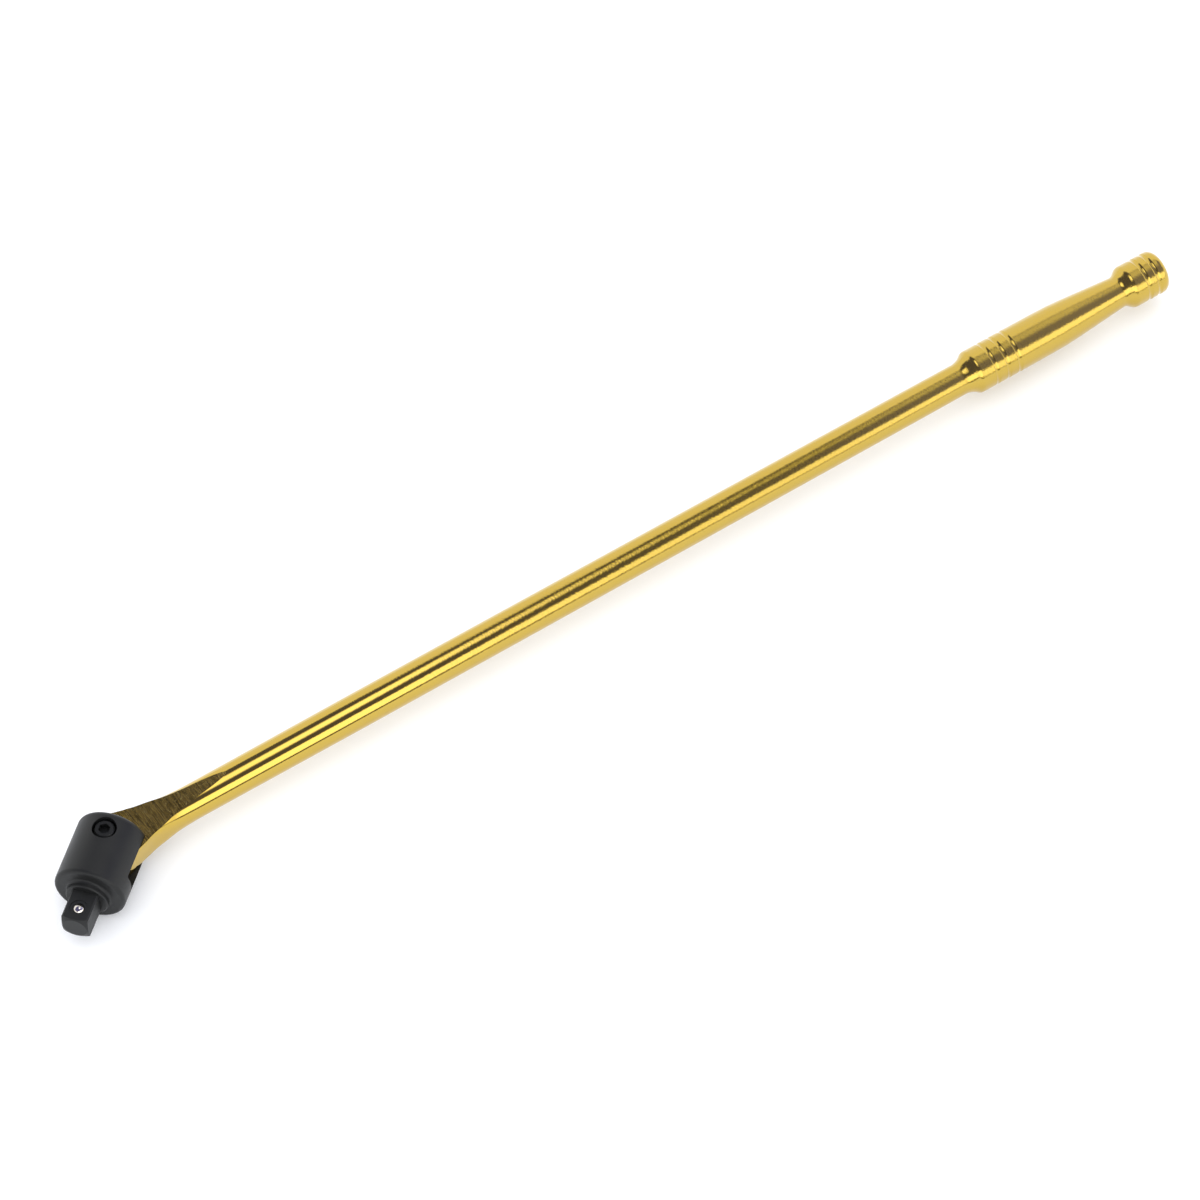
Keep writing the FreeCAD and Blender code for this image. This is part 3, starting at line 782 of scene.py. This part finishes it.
floor_corners = [(FLOOR_HALF * x, FLOOR_HALF * y, 0) for x, y in ((-1, -1), (1, -1), (1, 1), (-1, 1))]
floor = mesh_object("floor", floor_corners, [(0, 1, 2, 3)], pale_floor())
print("floor:", 2 * FLOOR_HALF, "m square")

# %% [markdown]
# ## What the mirror sees
#
# A round mirror lying on a bench reflects a whole slice of the room, from the bench in front of
# it, over the ceiling, to the bench behind it. Each direction of that slice is one band along the
# bar. So the bands are laid out by cards that stand around the tool: dark ones, which give the
# dark bands, and bright ones, which give the bright bands. A card is placed by the height angle
# at which the middle of the bar sees it, counted from behind the bar (0), overhead (90) to the
# front (180). The cards are seen in reflections only, so they darken neither the floor nor a view.
# Brightness changes along a card by a colour ramp, and its long edges fade out softly.

# %% Material of the cards
def card_material(name, tones, fade, blueness):
    """Light of a card: tones are (x, brightness) along the bar, fade is the soft share of each
    edge, and blueness is how much stronger blue is than red and green."""
    material, tree = new_material(name)
    place = add(tree, "ShaderNodeTexCoord")
    along = add(tree, "ShaderNodeSeparateXYZ", Vector=place.outputs["Object"]).outputs["X"]
    across = add(tree, "ShaderNodeSeparateXYZ", Vector=place.outputs["UV"]).outputs["Y"]
    first, last = tones[0][0], tones[-1][0]
    share = add(tree, "ShaderNodeMapRange", Value=along, From_Min=first, From_Max=last)
    ramp = add(tree, "ShaderNodeValToRGB", Fac=share.outputs[0])
    top = max(tone for spot, tone in tones)
    while len(ramp.color_ramp.elements) < len(tones):
        ramp.color_ramp.elements.new(1.0)
    for element, (spot, tone) in zip(ramp.color_ramp.elements, tones):
        element.position = (spot - first) / (last - first)
        share_of_top = tone / top
        element.color = (share_of_top, share_of_top, share_of_top * blueness, 1)
    glow = add(tree, "ShaderNodeEmission", Color=ramp.outputs["Color"], Strength=top)
    clear = add(tree, "ShaderNodeBsdfTransparent")
    soft = {"interpolation_type": "SMOOTHSTEP"}
    low_edge = add(tree, "ShaderNodeMapRange", soft, Value=across, From_Min=0.0, From_Max=fade)
    high_edge = add(tree, "ShaderNodeMapRange", soft, Value=across, From_Min=1.0,
                    From_Max=1.0 - fade)
    solid = add(tree, "ShaderNodeMath", {"operation": "MULTIPLY"}, i0=low_edge.outputs[0],
                i1=high_edge.outputs[0])
    mixed = add(tree, "ShaderNodeMixShader", i0=solid.outputs[0], i1=clear.outputs[0],
                i2=glow.outputs[0])
    finish_material(tree, mixed.outputs[0])
    return material


# %% [markdown]
# Each card is a strip of a drum round the bar. One end of it may start at another angle than the
# other, so that a band grows wider or narrower along the bar. It spans its own width in steps of
# about two degrees, and a UV map holds how far across the card each point lies. The dark card is a
# little blue, so that the dark bands of the gold are brown and not orange. Every card is hidden
# from all rays but the reflected ones.

# %% Cards seen in the reflections
CARD_ARC_STEP = 2.0
HIDDEN_FROM = ("camera", "diffuse", "transmission", "volume_scatter", "shadow")


def card(name, distance, edges, tones, fade, blueness=1.0):
    """Curved card. edges are (x, low angle, high angle) from one end of it to the other."""
    steps = math.ceil(max(high - low for x, low, high in edges) / CARD_ARC_STEP)
    corners = []
    for x, low, high in edges:
        for step in range(steps + 1):
            angle = math.radians(low + (high - low) * step / steps)
            corners.append((x, distance * math.cos(angle), distance * math.sin(angle)))
    row = steps + 1
    faces = []
    for column in range(len(edges) - 1):
        for step in range(steps):
            corner = column * row + step
            faces.append((corner, corner + 1, corner + row + 1, corner + row))
    piece = mesh_object(name, corners, faces, card_material(name, tones, fade, blueness))
    shares = piece.data.uv_layers.new(name="share")
    for loop in piece.data.loops:
        shares.data[loop.index].uv = (0.0, (loop.vertex_index % row) / steps)
    piece.location = PIVOT
    for kind in HIDDEN_FROM:
        setattr(piece, "visible_" + kind, False)


card("room_dark", distance=1.7,
     edges=[(-3.0, 40, 139), (0.20, 40, 139), (0.40, 44, 139), (0.60, 50, 138), (0.67, 56, 138),
            (0.80, 61, 141), (1.05, 65, 144), (4.0, 68, 146)],
     tones=[(-3.0, 0.14), (1.0, 0.14), (1.04, 0.32), (4.0, 0.36)], fade=0.05, blueness=2.0)
card("ceiling_strip", distance=1.5,
     edges=[(0.0, 74, 116), (0.5, 74, 114), (0.62, 76, 112), (0.74, 80, 108), (0.95, 84, 106)],
     tones=[(0.0, 1.2), (0.48, 2.5), (0.60, 2.5), (0.66, 2.0), (0.74, 1.1), (0.84, 0.5),
            (0.95, 0.14)], fade=0.3)
card("grip_strip", distance=1.5,
     edges=[(0.965, 56, 112), (1.6, 56, 112)],
     tones=[(0.965, 0.3), (1.0, 0.95), (1.6, 1.0)], fade=0.42)
card("front_light", distance=1.6,
     edges=[(-1.5, 136, 175), (0.66, 136, 173), (0.72, 139, 174), (0.80, 143, 176),
            (1.6, 146, 177), (3.0, 146, 177)],
     tones=[(-1.5, 2.5), (0.62, 2.5), (0.72, 2.1), (0.80, 1.75), (0.97, 1.5), (1.03, 2.1),
            (3.0, 2.1)], fade=0.12)
card("front_gap", distance=1.5,
     edges=[(-3.0, 170, 184), (0.68, 170, 184), (0.80, 172, 182), (1.1, 174, 180),
            (4.0, 174, 180)],
     tones=[(-3.0, 0.15), (0.68, 0.25), (0.80, 0.65), (4.0, 0.9)], fade=0.25)

# %% [markdown]
# ## Lights
#
# The room is an even white. One wide soft lamp overhead, a little to the front, gives the head its
# gentle shading. Lamps are hidden from reflections, which the cards already hold.

# %% World and lamps
ROOM_STRENGTH = 1.3

world = bpy.data.worlds.new("even_room")
world.use_nodes = True
sky = world.node_tree.nodes["Background"]
sky.inputs["Color"].default_value = linear("ffffff")
sky.inputs["Strength"].default_value = ROOM_STRENGTH
bpy.context.scene.world = world


def soft_lamp(name, place, size, power):
    """Square lamp that faces the pivot; size in metres and power in watts."""
    lamp = bpy.data.lights.new(name, "AREA")
    lamp.shape = "SQUARE"
    lamp.size = size
    lamp.energy = power
    holder = bpy.data.objects.new(name, lamp)
    bpy.context.scene.collection.objects.link(holder)
    holder.location = place
    holder.rotation_mode = "QUATERNION"
    holder.rotation_quaternion = (PIVOT - Vector(place)).to_track_quat("-Z", "Y")
    holder.visible_glossy = False
    return holder


overhead = soft_lamp("overhead_lamp", place=(-0.6, -0.5, 1.8), size=1.2, power=3.0)
print("lamp:", overhead.name, overhead.data.energy, "W")

# %% [markdown]
# ## Camera
#
# A long lens from about three metres, looking down at 53 degrees from the front left, so the tool
# runs up the picture from the head to the grip. The camera is rolled a little. Its aim is a point
# near the middle of the bar.

# %% Camera
VIEW_AZIMUTH = math.radians(-29.92)
VIEW_ELEVATION = math.radians(53.17)
VIEW_ROLL = math.radians(-4.185)
VIEW_DISTANCE = 3.016
VIEW_AIM = PIVOT + Vector((0.2625, -0.0112, 0.0))
LENS_MM = 192.75
SENSOR_MM = 36.0
FAR_LIMIT = 200.0


def make_camera():
    """Camera at a distance from its aim, in the direction of the azimuth and the elevation."""
    lens = bpy.data.cameras.new("camera")
    lens.lens = LENS_MM
    lens.sensor_width = SENSOR_MM
    lens.clip_end = FAR_LIMIT
    camera = bpy.data.objects.new("camera", lens)
    bpy.context.scene.collection.objects.link(camera)
    back = Vector((math.sin(VIEW_AZIMUTH) * math.cos(VIEW_ELEVATION),
                   -math.cos(VIEW_AZIMUTH) * math.cos(VIEW_ELEVATION), math.sin(VIEW_ELEVATION)))
    level = (-back).to_track_quat("-Z", "Y").to_matrix().to_4x4()
    camera.matrix_world = (Matrix.Translation(VIEW_AIM + back * VIEW_DISTANCE) @ level
                           @ Matrix.Rotation(VIEW_ROLL, 4, "Z"))
    bpy.context.scene.camera = camera


make_camera()
bpy.context.scene.view_settings.view_transform = "Standard"
camera_place = bpy.context.scene.camera.matrix_world.to_translation()
print("camera at", tuple(round(value, 2) for value in camera_place), "m")
